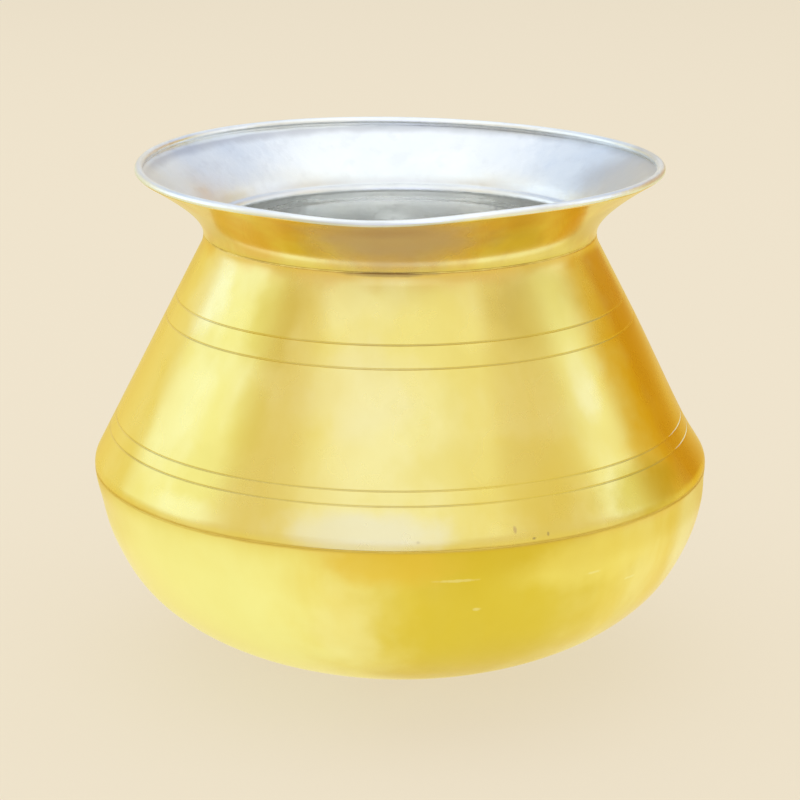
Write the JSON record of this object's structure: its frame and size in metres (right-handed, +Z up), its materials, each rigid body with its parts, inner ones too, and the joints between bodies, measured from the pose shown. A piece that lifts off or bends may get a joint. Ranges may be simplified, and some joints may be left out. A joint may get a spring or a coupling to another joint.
{
  "type": "cooking pot",
  "caption": "Round-bellied, narrow-necked cooking pot of brazed brass sheet, tinned inside, with a conical shoulder, a flared mouth and a rolled lip, standing on a small flat base.",
  "frame": {"origin": "centre of the underside of the flat base", "axes": "+Z up along the axis that the pot is turned about"},
  "size_m": [0.3, 0.3, 0.2506],
  "materials": {
    "bowl_brass": "satin, turned and hand buffed",
    "shoulder_brass": "polished, with faint turning marks",
    "collar_brass": "polished, heat stained near the neck seam",
    "wire_brass": "drawn",
    "braze": "dull, darkened by flux",
    "tin": "wiped tin coat, soft and mottled"
  },
  "bodies": {
    "root": {"lower_bowl": "bowl_brass", "upper_shoulder": "shoulder_brass", "mouth_collar": "collar_brass", "rim_wire": "wire_brass", "belly_braze_ring": "braze", "neck_braze_ring": "braze", "tin_lining": "tin"}
  },
  "joints": []
}
